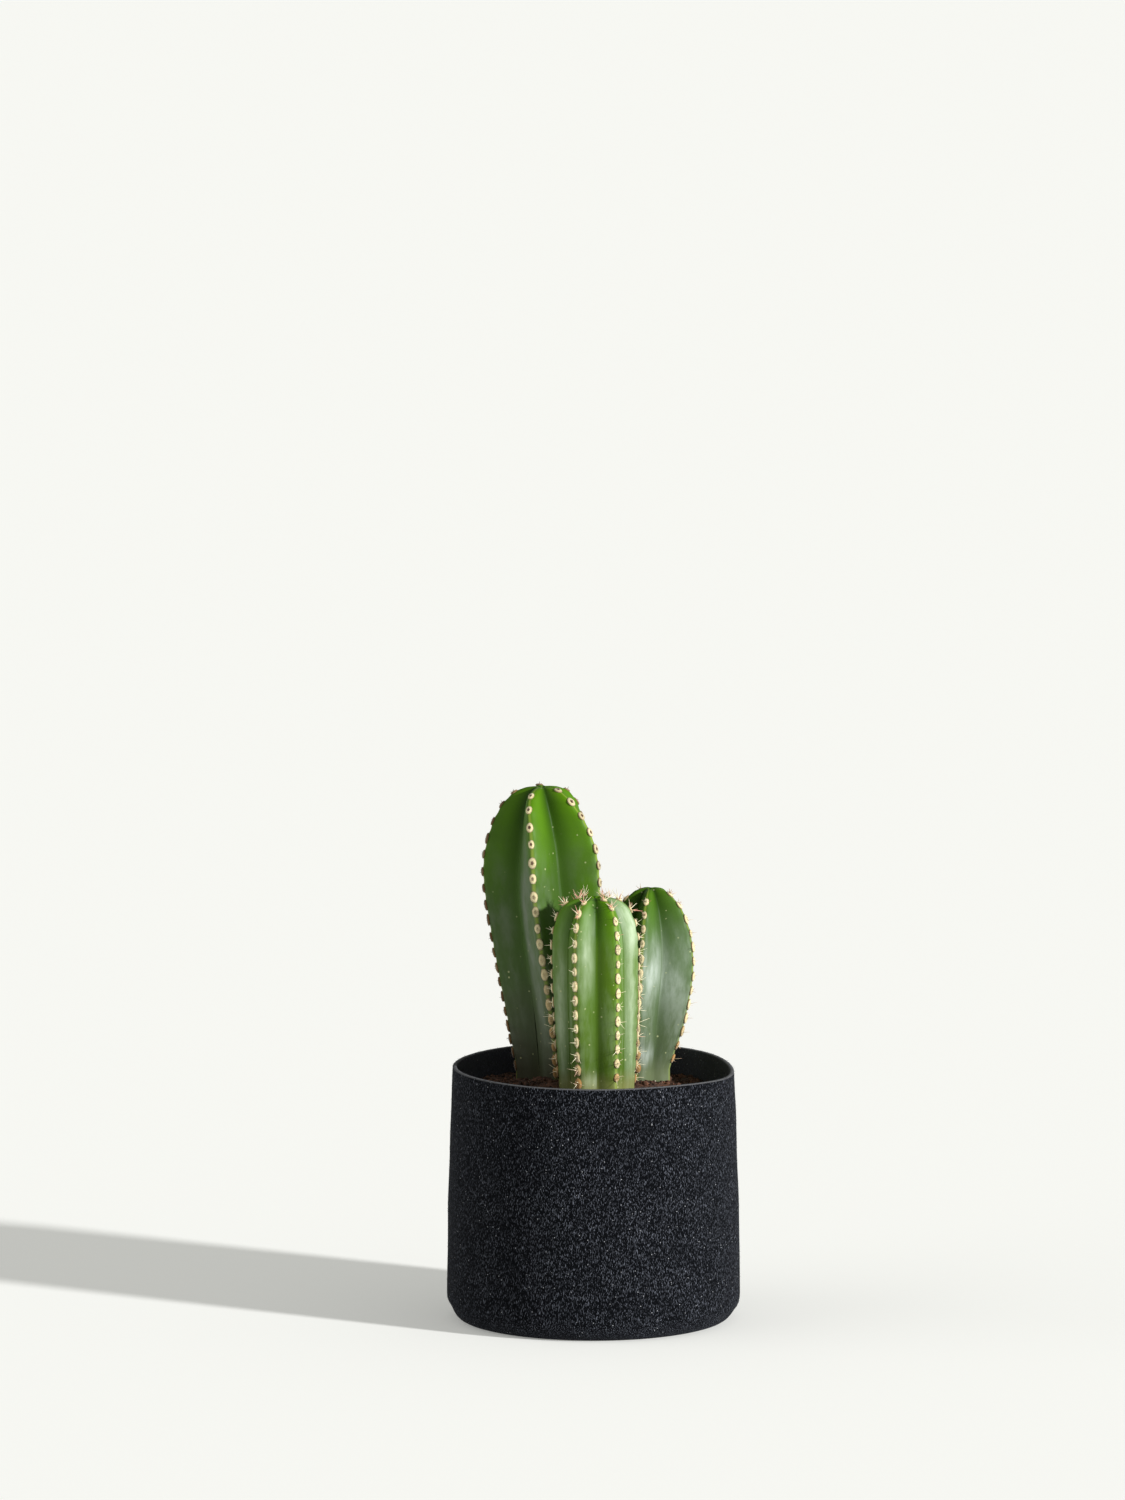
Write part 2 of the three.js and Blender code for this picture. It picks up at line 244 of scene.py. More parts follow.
def addFibreEnd(bm, rng, part):  # most lie nearly flat on the felt
    top, wall = feltPot["height"], feltPot["wall"]
    angle = rng.uniform(-math.pi, math.pi)
    heights = {"wall": rng.uniform(feltFuzz["lowest"], top - feltFuzz["belowTop"]),
               "rim": top - rng.uniform(0, feltFuzz["belowRim"]),
               "inside": rng.uniform(feltFuzz["lowestInside"], top - feltFuzz["belowTop"])}
    insets = {"wall": 0, "rim": rng.uniform(0, wall), "inside": wall}
    height, inset = heights[part], insets[part]
    radius, out = outerRadius(height), outward(angle)
    lift = -out if part == "inside" else out
    if part == "rim":
        lift = (Vector((0, 0, 1)) + out * rng.uniform(*feltFuzz["rimLean"])).normalized()
    around = Vector((math.cos(angle), math.sin(angle), 0))
    up = lift.cross(around)
    lay, slope = rng.uniform(0, 2 * math.pi), rng.uniform(*feltFuzz["lift"])
    direction = (around * math.cos(lay) + up * math.sin(lay) + lift * slope).normalized()
    length = rng.uniform(*feltFuzz["length"])
    sway = potSway(angle, height) + potDent(angle, radius, height)
    root = out * (radius - inset + sway) + Vector((0, 0, height - potSag(angle, height)))
    middle = root + direction * (length / 2 - feltFuzz["sunk"])
    bmesh.ops.create_cone(bm, cap_ends=True, segments=3, radius1=feltFuzz["radius"], radius2=0,
                          depth=length, matrix=aimed(middle, direction))


def makeFuzz():
    rng, batches = random.Random(feltFuzz["seed"]), []
    for part, count in feltFuzz["counts"].items():
        for start in range(0, count, feltFuzz["batch"]):
            bm = bmesh.new()
            for _ in range(min(feltFuzz["batch"], count - start)):
                addFibreEnd(bm, rng, part)
            batches.append(bm)
    return joinBatches(batches)


# Pressed wool and polyester felt, dyed black: matt and soft, with pale fibres caught in it at every angle.
# A real fibre is 0.03 mm thick, too fine to show, so the strands are drawn about 0.3 mm by 1.4 mm.
def makeFelt():
    material, tree, shader = newMaterial("pressedBlackFelt", Roughness=0.95, Sheen_Weight=0.04,
                                         Sheen_Roughness=0.5, Specular_IOR_Level=0.05)
    shader.inputs["Sheen Tint"].default_value = linearColour(feltPot["sheen"])
    where = addNode(tree, "TexCoord").outputs["Object"]
    given = feltPot["strands"]
    fibres = 0
    for turn, slant in given["lays"]:
        laid = addNode(tree, "Mapping", {"Vector": where, "Rotation": (slant, turn, turn * 2),
                                         "Scale": (1, 1, given["slimness"])})
        strands = addNode(tree, "TexNoise", {"Vector": laid.outputs[0], "Detail": 0,
                                             "Scale": given["perMillimetre"] / mm})
        thin = addNode(tree, "MapRange", {"Value": strands.outputs[0], "From Min": 0.68, "From Max": 0.8})
        fibres = addNode(tree, "Math", {0: fibres, 1: thin.outputs[0]}, operation="MAXIMUM").outputs[0]
    cloudy = addNode(tree, "TexNoise", {"Vector": where, "Detail": 3,
                                        "Scale": 1 / (feltPot["cloudSize"] * mm)})
    patchy = addNode(tree, "MapRange", {"Value": cloudy.outputs[0], "From Min": 0.3, "From Max": 0.7,
                                        "To Min": 0.5, "To Max": 1})
    amount = addNode(tree, "Math", {0: fibres, 1: patchy.outputs[0]}, operation="MULTIPLY")
    # the inner wall turns paler towards the rim: painted light that lifts the stems' shadow on it
    paintedInnerLight = addNode(tree, "Attribute", attribute_name="paintedInnerLight").outputs["Fac"]
    ground = addNode(tree, "Mix", {0: paintedInnerLight, 6: linearColour(feltPot["black"]),
                                   7: linearColour(feltPot["paintedInnerLight"])}, data_type="RGBA")
    black = addNode(tree, "Mix", {0: amount.outputs[0], 6: ground.outputs[2],
                                  7: linearColour(feltPot["fibre"])}, data_type="RGBA")
    # a pale speck of fibre here and there
    grains = addNode(tree, "TexVoronoi", {"Vector": where, "Scale": 1 / (feltPot["speckSpacing"] * mm)})
    dots = addNode(tree, "MapRange", {"Value": grains.outputs["Distance"], "From Min": 0.22, "From Max": 0.1})
    rare = addNode(tree, "SeparateColor", {"Color": grains.outputs["Color"]})
    chosen = addNode(tree, "Math", {0: rare.outputs[0], 1: 1 - feltPot["speckShare"]},
                     operation="GREATER_THAN")
    specks = addNode(tree, "Math", {0: dots.outputs[0], 1: chosen.outputs[0]}, operation="MULTIPLY")
    speckled = addNode(tree, "Mix", {0: specks.outputs[0], 6: black.outputs[2],
                                     7: linearColour(feltPot["speck"])}, data_type="RGBA")
    # the cut at the rim shows the paler middle of the felt
    atRim = addNode(tree, "Attribute", attribute_name="cutEdge").outputs["Fac"]
    pale = addNode(tree, "Math", {0: atRim, 1: feltPot["cutEdgeShows"]}, operation="MULTIPLY")
    cut = addNode(tree, "Mix", {0: pale.outputs[0], 6: speckled.outputs[2],
                                7: linearColour(feltPot["cutEdge"])}, data_type="RGBA")
    tree.links.new(cut.outputs[2], shader.inputs["Base Color"])
    bump = addNode(tree, "Bump", {"Height": amount.outputs[0], "Strength": 0.9, "Distance": 0.3 * mm})
    tree.links.new(bump.outputs[0], shader.inputs["Normal"])
    return material


# Single wool fibres that stand off the felt, grey and fine enough to look like a haze.
def makeFibre():
    material, tree, shader = newMaterial("looseFeltFibre", Roughness=0.8, Specular_IOR_Level=0.2)
    where = addNode(tree, "TexCoord").outputs["Object"]
    mixed = addNode(tree, "TexNoise", {"Vector": where, "Scale": 1 / (feltFuzz["toneSize"] * mm)})
    tone = addNode(tree, "MapRange", {"Value": mixed.outputs[0], "From Min": 0.4, "From Max": 0.65})
    colour = addNode(tree, "Mix", {0: tone.outputs[0], 6: linearColour(feltFuzz["dark"]),
                                   7: linearColour(feltFuzz["pale"])}, data_type="RGBA")
    tree.links.new(colour.outputs[2], shader.inputs["Base Color"])
    return material


finishPiece("feltPot", makePot(), makeFelt(), node="felt_pot")
finishPiece("feltFuzz", makeFuzz(), makeFibre(), smooth=False)
print("pot done")

# The stems.
ribForm = {
    "buriedTo": 94, "soilLevel": 126,  # heights of the stems' lower ends and of the soil round them
    "crestRound": 2.3, "grooveRound": 1.5,  # half widths of the rounded crest and groove
    "roundLimits": (0.45, 0.3),  # the most that each may take of a narrow flank
    "bulge": 0.9,  # how far a flank swells
    "swelling": 0.3, "betweenSwellings": 0.3,  # how far a crest swells at each areole
    "uneven": {"depth": 0.3, "size": 15},
    "fullRadius": 18,  # a thinner stem swells less
    "fadeAboveSoil": 4, "fadeBelowTop": 3,
    "turnBlend": 6,  # the ribs' turn is smoothed over this height, up and down
    "firstRow": 0.8, "curveSteps": 16, "rowStep": 0.95, "buriedRows": (-20, -8, -3),
    "columns": 24, "crowding": 0.1,
    "apexRows": 6, "apexDip": 1.6, "apexPower": 1.6,
    "unrolledRib": 36,  # a rib's width on the skin's UV map
}

# The skin's own values. freckleSizes are shares of the spacing, and a pale patch of wax and painted sheen
# wears down to the worn share given here.
cuticle = {
    "cloudSize": 26.3, "streakSize": (4.545, 22.22), "freckleSpacing": 2.083, "freckleSizes": (0.1, 0.36),
    "poresPerMillimetre": 1.4, "relief": 0.12,
    "ageShift": 0.25, "corkShift": 0.08, "corkTop": 0.1, "corkAmount": 0.6, "wornPatch": 0.4,
    "grooveReach": 0.6, "leastPaintedGrooveShade": 0.3,  # how far the grooves' deep green and painted shade reach, and the least amount, painted shade in the old grooves
    "waxTop": (0.85, 0.5),  # shares of the length between which the bloom sets in, from the top down
    "seam": (0.89, 0.98, 0.55),  # where the crest's pale seam starts and is full, and its amount
    "tintPower": 0.3, "roughness": (0.48, 0.62),  # bare skin, then wax
    "freckle": "#b9bd8c", "seamColour": "#8fa040",
}

# ribShares: each rib's crest against the others. turn: height and angle of the first rib.
# base, tip: the stem's middle at the soil and at the top. upright: height where the lean ends.
# crest: radius and height of the rib crests from the soil up. groove: height and share of the crest's radius.
# pitch: spacing of the areoles at the soil and at the top. areole: width, length and height of one.
# youngWider, lowWider: how much wider the areoles are at the top, and just above the soil.
# spines: how many to an areole, their lengths along the stem, at its crown and low down, how many more there
# are at the crown, and how far all but the middle one lean.
# old, mid, young: the skin from the soil up. The groove green: the young grooves' deep green, and painted
# shade in every groove. bloom: wax, and the colour of the painted sheen patches. foot: cork at the soil.
# youngFrom: shares of the length where the young skin starts and where it is full. The tints: light or dark
# ribs, with the tall stem's rib on its shaded left darkened as painted shade.
# the wax patches: pale patches of wax bloom and painted sheen highlights, as (rib, share of the rib, height,
# width as a share, height of the patch, amount).
# freckles: the share of the skin's cells that has none.
# the areole shade: how dark each rib's areoles are, painted shade on the ribs turned from the light.
# stainFrom: where the stain starts, from 0 at the top to 1 at the soil.
# areoleBrown: how brown the middle of a young areole is.
tallStem = {
    "name": "tallStem", "node": "tall_stem", "slot": "tall_stem_skin", "seed": 11,
    "ribShares": [1, 1.03, 0.98, 1, 1],
    "turn": [(126, -9.2), (240, -9.6), (252, -12.5), (266, -20), (274, -28)],
    "base": (-15.3, 22), "tip": (-26.2, 25), "upright": 240,
    "crest": [(24.8, 126), (28.2, 152), (30, 184), (31.6, 224), (30.7, 240), (27.8, 251), (23.2, 261),
              (17, 269), (10.5, 272.8), (5, 273.8)],
    "groove": [(126, 0.72), (150, 0.66), (215, 0.62), (240, 0.55), (274, 0.5)],
    "pitch": (7, 9.8), "areole": (3.1, 5.0, 0.8), "youngWider": 0.38, "lowWider": 0.15,
    "spines": {"count": (2, 4), "length": (1.0, 1.9), "crown": (1.5, 2.2), "low": (1.2, 2.4),
               "extra": 1, "radius": 0.22, "tilt": (25, 65)},
    "old": "#4f5540", "mid": "#3d5a1c", "young": "#4a7404", "deepGreenAndPaintedShade": "#1f3c02", "bloom": "#6b7663",
    # the last rib, on the shaded left, is darkened as painted shade
    "foot": "#3a3527", "youngFrom": (0.5, 0.95), "tintsAndPaintedShade": [1.03, 1.04, 0.98, 0.95, 0.78],
    "bloomAmount": 0.35, "waxAndPaintedSheen": [(0, -0.45, 200, 0.35, 60, 1.0), (4, 0.5, 190, 0.3, 40, 0.15)],
    "freckles": 0.94,
    # the areoles of the back ribs and the shaded left rib are darkened: painted shade
    "paintedAreoleShade": [0, 0.2, 0.5, 0.7, 0.8], "stainFrom": 0.55, "areoleBrown": 1.0,
    "spineBase": "#6b5138", "spineTip": "#3c2c22", "spinePink": "#6e4632",
}
frontStem = {
    "name": "frontStem", "node": "front_stem", "slot": "front_stem_skin", "seed": 23,
    "ribShares": [1, 1, 1, 0.99, 0.95, 1],
    "turn": [(126, -29), (224, -28)],
    "base": (1.6, -20), "tip": (0.8, -21.5), "upright": 200,
    "crest": [(19.3, 126), (20.9, 152), (22, 178), (22.1, 198), (21.3, 206.5), (19.3, 214), (15.6, 219.8),
              (10, 222.7), (4.5, 223.4)],
    "groove": [(126, 0.82), (160, 0.78), (206, 0.74), (224, 0.6)],
    "pitch": (7.2, 7.8), "areole": (2.6, 4.5, 0.8), "youngWider": 0.22, "lowWider": 0.5,
    "spines": {"count": (3, 5), "length": (2.8, 5.0), "crown": (4.6, 7.2), "low": (3.2, 6.6),
               "extra": 5, "radius": 0.2, "tilt": (25, 70)},
    "old": "#4a641c", "mid": "#4c6c14", "young": "#4c7b04", "deepGreenAndPaintedShade": "#193801", "bloom": "#b4c4a6",
    "foot": "#7d7a4a", "youngFrom": (0.6, 1.0), "tintsAndPaintedShade": [0.95, 1, 0.97, 1, 1.04, 0.97],
    "bloomAmount": 0.15,
    "waxAndPaintedSheen": [(0, 0.5, 198, 0.35, 17, 0.6), (1, 0.5, 205, 0.3, 12, 0.3), (2, -0.5, 210, 0.4, 12, 1.0),
            (2, -0.6, 165, 0.35, 40, 0.45), (5, 0.6, 160, 0.3, 40, 0.5), (0, 0.8, 129, 0.5, 4, 0.8)],
    "freckles": 0.88,
    "paintedAreoleShade": [0, 0, 0, 0.3, 0.3, 0], "stainFrom": 0.82, "areoleBrown": 0.35,
    "spineBase": "#f2edcb", "spineTip": "#efe3bd", "spinePink": "#dc7a69",
}
rightStem = {
    "name": "rightStem", "node": "right_stem", "slot": "right_stem_skin", "seed": 37,
    "ribShares": [1, 1.02, 1, 0.97, 0.9],
    "turn": [(126, -4.5), (180, -5.3), (219, -9)],
    "base": (23.8, 31), "tip": (29.6, 36), "upright": 230,
    "crest": [(16.2, 126), (19.4, 136), (23.7, 150.5), (26.2, 168.5), (26.3, 182), (24.2, 195), (19.2, 207),
              (14.7, 213), (9.4, 217.5), (4.5, 218.9)],
    "groove": [(126, 0.8), (150, 0.66), (200, 0.6), (219, 0.5)],
    "pitch": (7.2, 7.8), "areole": (2.8, 4.5, 0.8), "youngWider": 0.1, "lowWider": 0.4,
    "spines": {"count": (2, 4), "length": (1.9, 3.8), "crown": (2.8, 4.4), "low": (2.6, 5.4),
               "extra": 2, "radius": 0.2, "tilt": (30, 75)},
    "old": "#525f44", "mid": "#465f30", "young": "#40660a", "deepGreenAndPaintedShade": "#1c3603", "bloom": "#bcc6bd",
    "foot": "#66704f", "youngFrom": (0.6, 1.0), "tintsAndPaintedShade": [1, 0.96, 1.03, 1, 0.96],
    "bloomAmount": 0.2,
    "waxAndPaintedSheen": [(0, 0.55, 178, 0.5, 15, 0.5), (1, -0.75, 176, 0.5, 15, 0.42), (0, 0.5, 134, 0.4, 5, 0.6)],
    "freckles": 0.92,
    "paintedAreoleShade": [0.15, 0, 0.2, 0.4, 0.5], "stainFrom": 0.65, "areoleBrown": 0.5,
    "spineBase": "#ebe2c2", "spineTip": "#c09c82", "spinePink": "#b06b5a",
}
allStems = [tallStem, frontStem, rightStem]


def crestLine(stem):  # (distance along the crest, radius, height), closely spaced
    knots = [Vector((radius, 0, height)) for radius, height in stem["crest"]]
    points = []
    for index in range(len(knots) - 1):
        before, start, end = knots[max(0, index - 1)], knots[index], knots[index + 1]
        after = knots[min(len(knots) - 1, index + 2)]
        # handles that keep the curve smooth through the knots
        leaving, arriving = start + (end - before) / 6, end - (after - start) / 6
        points += interpolate_bezier(start, leaving, arriving, end, ribForm["curveSteps"])[:-1]
    points.append(knots[-1])
    along, line = 0, []
    for index, point in enumerate(points):
        along += (point - points[index - 1]).length if index else 0
        line.append((along, point.x, point.z))
    return line


def prepareStem(stem):
    stem["line"] = list(zip(*crestLine(stem)))
    stem["length"] = stem["line"][0][-1]
    stem["step"] = 2 * math.pi / len(stem["ribShares"])
    stem["grooveLine"], stem["turnLine"] = list(zip(*stem["groove"])), list(zip(*stem["turn"]))
    rows, along = [], ribForm["firstRow"]  # one row for each areole
    while along < stem["length"]:
        rows.append(along)
        along += stem["pitch"][0] + (stem["pitch"][1] - stem["pitch"][0]) * along / stem["length"]
    stem["rows"] = rows


def levelAt(stem, along):  # radius and height at a distance along the crest, straight down below ground
    if along < 0:
        return stem["crest"][0][0], ribForm["soilLevel"] + along
    if along <= stem["length"]:
        lengths, radii, heights = stem["line"]
        return float(interp(along, lengths, radii)), float(interp(along, lengths, heights))
    last, top = stem["crest"][-1]
    inward = min(1, (along - stem["length"]) / last)  # over the top to the hollow in the middle
    return last * (1 - inward), top - ribForm["apexDip"] * inward ** ribForm["apexPower"]


def stemMiddle(stem, height):
    lean = ease(height, ribForm["soilLevel"], stem["upright"])
    return Vector((*stem["base"], 0)).lerp(Vector((*stem["tip"], 0)), lean) + Vector((0, 0, height))


def ribTurn(stem, rib, height):
    blend = ribForm["turnBlend"]
    turns = interp([height - blend, height, height + blend], *stem["turnLine"])
    return math.radians(float(turns.mean())) + rib * stem["step"]


def seatShare(rib):  # neighbouring ribs have their areoles low and high between two rows
    return 0.75 if rib % 2 else 0.25


def skinPoint(stem, rib, share, along):  # share: -1 in one groove, 0 on the crest, 1 in the next groove
    radius, height = levelAt(stem, along)
    half, away = stem["step"] / 2, abs(share)
    crest = radius * stem["ribShares"][rib]
    groove = radius * float(interp(height, *stem["grooveLine"]))
    width, depth = max(0.01, groove * math.sin(half)), crest - groove * math.cos(half)
    # a rounded crest, a straight flank and a rounded groove
    bend = min(ribForm["roundLimits"][0], ribForm["crestRound"] / width)
    fold = min(ribForm["roundLimits"][1], ribForm["grooveRound"] / width)
    whole = 1 - (bend + fold) / 2
    if away < bend:
        fall = away * away / (2 * bend)
    elif away < 1 - fold:
        fall = away - bend / 2
    else:
        fall = whole - (1 - away) ** 2 / (2 * fold)
    slope, thin = math.hypot(width, depth), min(1, radius / ribForm["fullRadius"])
    swell = ribForm["bulge"] * math.sin(math.pi * away) * thin
    across = width * away + swell * depth / slope
    out = crest - depth * fall / whole + swell * width / slope
    # the crest swells at each areole
    below = ease(along, stem["length"] - ribForm["fadeBelowTop"], stem["length"])
    free = ease(along, 0, ribForm["fadeAboveSoil"]) * (1 - below)
    row = float(interp(along, stem["rows"], range(len(stem["rows"]))))
    wave = math.cos(2 * math.pi * (row - seatShare(rib))) - ribForm["betweenSwellings"]
    out += ribForm["swelling"] * free * (1 - away) ** 2 * wave
    direction = outward(ribTurn(stem, rib, height))
    side = Vector((-direction.y, direction.x, 0)) * math.copysign(1, share)
    point = stemMiddle(stem, height) + direction * out + side * across
    uneven = ribForm["uneven"]
    lump = uneven["depth"] * noise.noise(point / uneven["size"] + Vector((stem["seed"], 0, 0)))
    return point + direction * lump * free * thin


def crowded(share):  # columns lie closer together near the crest and the groove
    return share - ribForm["crowding"] * math.sin(2 * math.pi * share)


# pale patches of wax bloom and painted sheen highlights
def waxAndPaintedSheenAt(stem, rib, share, height):
    total = 0
    for patchRib, middle, level, width, reach, amount in stem["waxAndPaintedSheen"]:
        if patchRib == rib:
            total += amount * math.exp(-((share - middle) / width) ** 2 - ((height - level) / reach) ** 2)
    return total


def makeSkin(stem):
    ribs, columnsPerRib, apexRows = len(stem["ribShares"]), ribForm["columns"], ribForm["apexRows"]
    levels = [ribForm["buriedTo"] - ribForm["soilLevel"], *ribForm["buriedRows"]]
    steps = round(stem["length"] / ribForm["rowStep"])
    levels += [stem["length"] * step / steps for step in range(steps + 1)]
    last = stem["crest"][-1][0]
    levels += [stem["length"] + last * step / apexRows for step in range(1, apexRows + 1)]
    columns = ribs * columnsPerRib
    bm = bmesh.new()
    bmesh.ops.create_grid(bm, x_segments=columns, y_segments=len(levels) - 1, size=1)
    nearCrest, rise = bm.verts.layers.float.new("nearCrest"), bm.verts.layers.float.new("rise")
    ribTintAndPaintedShade, waxAndPaintedSheen = bm.verts.layers.float.new("ribTintAndPaintedShade"), bm.verts.layers.float.new("waxAndPaintedSheen")
    spread = bm.loops.layers.uv.new("skin")
    for face in bm.faces:
        for loop in face.loops:  # u in millimetres round the stem, v in millimetres up the crest
            turn, level = (loop.vert.co.x + 1) / 2, round((loop.vert.co.y + 1) / 2 * (len(levels) - 1))
            loop[spread].uv = (turn * ribs * ribForm["unrolledRib"], levels[level])
    for vert in bm.verts:
        column = round((vert.co.x + 1) / 2 * columns)
        along = levels[round((vert.co.y + 1) / 2 * (len(levels) - 1))]
        rib = min(ribs - 1, column // columnsPerRib)
        share = 2 * (column - rib * columnsPerRib) / columnsPerRib - 1
        share = math.copysign(crowded(abs(share)), share)
        vert.co = skinPoint(stem, rib, share, along)
        vert[nearCrest] = 1 - abs(share)
        vert[rise] = along / stem["length"]
        # each rib's tint, with painted shade on the tall stem's shaded rib
        vert[ribTintAndPaintedShade] = 1 + (stem["tintsAndPaintedShade"][rib] - 1) * (1 - abs(share)) ** cuticle["tintPower"]
        # the pale patches: wax bloom and painted sheen highlights
        vert[waxAndPaintedSheen] = waxAndPaintedSheenAt(stem, rib, share, vert.co.z)
    bmesh.ops.remove_doubles(bm, verts=bm.verts, dist=samePoint)
    rim = [edge for edge in bm.edges if edge.is_boundary]
    bmesh.ops.holes_fill(bm, edges=rim)
    bmesh.ops.recalc_face_normals(bm, faces=bm.faces)
    return bm


# The areoles and their spines, where all three stems are alike.
areoleForm = {
    "seatSpread": 0.05, "sizes": (0.85, 1.15),
    "smallerAtTop": 0.15, "topRows": 3, "lowRows": 4,
    "longer": 1.3, "shorterWithHeight": 0.25,  # old ones run together
    "wearSpread": (-0.15, 0.25),
    "lumps": {"depth": 0.16, "closeness": 1.7}, "dip": {"depth": 0.25, "radius": 0.5},
    "hairs": {  # coarser than real ones, which are too fine to show
        "count": 16, "spread": (0.5, 1.15), "rootShare": 0.6, "rootHeight": 0.3, "lift": (0.3, 1),
        "length": (0.8, 1.3), "radius": 0.09, "sunk": 0.15, "brownness": 0.3,
    },
}
spineForm = {
    "crownRows": 2, "lowRows": 6, "others": (0.6, 1),  # the other spines' lengths against the middle one's
    "middleTilt": (5, 25), "turnSpread": 20, "upwards": 0.25, "rootSpread": (0.4, 0.7),
    "clearance": 0.9, "sunk": 0.8, "tipRadius": 0.04, "crownThickness": 1.5,
    "crownPink": 2.2, "otherPink": 12,  # the higher, the rarer pink spines are
}


def crestSeat(stem, rib, along):  # a matrix on the crest: X across the rib, Y up along it, Z out of it
    here, reach = skinPoint(stem, rib, 0, along), 1.2
    up = (skinPoint(stem, rib, 0, along + reach) - skinPoint(stem, rib, 0, along - reach)).normalized()
    across = up.cross(outward(ribTurn(stem, rib, here.z))).normalized()
    return Matrix.Translation(here) @ Matrix((across, up, across.cross(up))).transposed().to_4x4()


def areoleSeats(stem):
    rng = random.Random(stem["seed"] * 7)
    spread = areoleForm["seatSpread"]
    seats = []
    for rib in range(len(stem["ribShares"])):
        for row in range(1, len(stem["rows"])):
            share = seatShare(rib) + rng.uniform(-spread, spread)
            along = stem["rows"][row - 1] * (1 - share) + stem["rows"][row] * share
            seats.append((rib, row, along, crestSeat(stem, rib, along)))
    return seats


def addAreole(bm, rng, stem, rib, row, along, seat):
    age, middle, dimming = (bm.verts.layers.float[name] for name in ("age", "middle", "dimming"))
    width, length, height = stem["areole"]
    rows, rise = len(stem["rows"]), along / stem["length"]
    atTop, low = ease(row, rows - areoleForm["topRows"], rows), 1 - ease(row, 1, areoleForm["lowRows"])
    grown = rng.uniform(*areoleForm["sizes"]) * (1 - areoleForm["smallerAtTop"] * atTop)
    wider = grown * (1 + stem["youngWider"] * rise) * (1 + stem["lowWider"] * low)
    longer = grown * (areoleForm["longer"] - areoleForm["shorterWithHeight"] * rise)
    size = Matrix.Diagonal((width / 2 * wider, length / 2 * longer, height, 1))
    lumps, dip, hairs = areoleForm["lumps"], areoleForm["dip"], areoleForm["hairs"]
    cushion = bmesh.ops.create_icosphere(bm, subdivisions=2, radius=1)["verts"]
    # painted shade on the ribs turned from the light, with a random spread of wear
    paintedShadeAndWear = stem["paintedAreoleShade"][rib] + rng.uniform(*areoleForm["wearSpread"])
    for vert in cushion:
        reach = math.hypot(vert.co.x, vert.co.y)
        vert[age], vert[middle], vert[dimming] = 1 - rise, 1 - reach, paintedShadeAndWear
        sunk = dip["depth"] * max(0, 1 - reach / dip["radius"]) if vert.co.z > 0 else 0
        place = vert.co * lumps["closeness"] + Vector((row, rib, stem["seed"]))
        vert.co *= 1 + lumps["depth"] * noise.noise(place)
        vert.co.z -= sunk
        vert.co = seat @ size @ vert.co
    for _ in range(hairs["count"]):
        lay, lean = rng.uniform(0, 2 * math.pi), rng.uniform(*hairs["spread"])
        start = Vector((math.cos(lay) * lean, math.sin(lay) * lean, hairs["rootHeight"])) * hairs["rootShare"]
        root = seat @ (size @ start)
        push = Vector((math.cos(lay) * lean, math.sin(lay) * lean, rng.uniform(*hairs["lift"])))
        direction = (seat.to_3x3() @ push).normalized()
        hair = rng.uniform(*hairs["length"])
        centre = root + direction * (hair / 2 - hairs["sunk"])
        made = bmesh.ops.create_cone(bm, cap_ends=True, segments=3, radius1=hairs["radius"], radius2=0,
                                     depth=hair, matrix=aimed(centre, direction))["verts"]
        for vert in made:
            vert[age], vert[middle], vert[dimming] = 1 - rise, hairs["brownness"], paintedShadeAndWear


def makeAreoles(stem, seats):  # low oval cushions of felted wool, with short loose hairs round them
    rng = random.Random(stem["seed"] * 3)
    batches = []
    for rib in range(len(stem["ribShares"])):
        bm = bmesh.new()
        for name in ("age", "middle", "dimming"):
            bm.verts.layers.float.new(name)
        for _, row, along, seat in (s for s in seats if s[0] == rib):
            addAreole(bm, rng, stem, rib, row, along, seat)
        batches.append(bm)
    return joinBatches(batches)


def addSpines(bm, rng, stem, row, seat, others):
    tip, pink = (bm.verts.layers.float[name] for name in ("tip", "pink"))
    given = stem["spines"]
    crown = row >= len(stem["rows"]) - spineForm["crownRows"]
    part = "crown" if crown else "low" if row < spineForm["lowRows"] else "length"
    count = rng.randint(*given["count"]) + (given["extra"] if crown else 0)
    start, spread, upwards = rng.uniform(0, 360), spineForm["turnSpread"], spineForm["upwards"]
    across, along = spineForm["rootSpread"]
    for index in range(count):
        length = rng.uniform(*given[part]) * (1 if index == 0 else rng.uniform(*spineForm["others"]))
        tilt = math.radians(rng.uniform(*(spineForm["middleTilt"] if index == 0 else given["tilt"])))
        turn = math.radians(start + 360 * index / count + rng.uniform(-spread, spread))
        push = Vector((math.sin(tilt) * math.cos(turn), math.sin(tilt) * math.sin(turn) + upwards,
                       math.cos(tilt)))
        direction = (seat.to_3x3() @ push).normalized()
        root = seat @ Vector((rng.uniform(-across, across), rng.uniform(-along, along), 0))
        if any(tree.ray_cast(root, direction, length + spineForm["clearance"])[0] for tree in others):
            continue
        sunk, radius = spineForm["sunk"], given["radius"] * (spineForm["crownThickness"] if crown else 1)
        centre = root + direction * (length / 2 - sunk / 2)
        made = bmesh.ops.create_cone(bm, cap_ends=True, segments=5, radius1=radius,
                                     radius2=spineForm["tipRadius"], depth=length + sunk,
                                     matrix=aimed(centre, direction))["verts"]
        reddish = rng.random() ** spineForm["crownPink" if crown else "otherPink"]
        for vert in made:
            vert[tip] = max(0, min(1, (vert.co - root).dot(direction) / length))
            vert[pink] = reddish


def makeSpines(stem, seats, others):  # a few awl-shaped spines from each areole, longest at the crown
    rng = random.Random(stem["seed"] * 5)
    batches = []
    for rib in range(len(stem["ribShares"])):
        bm = bmesh.new()
        for name in ("tip", "pink"):
            bm.verts.layers.float.new(name)
        for _, row, _, seat in (s for s in seats if s[0] == rib):
            addSpines(bm, rng, stem, row, seat, others)
        batches.append(bm)
    return joinBatches(batches)


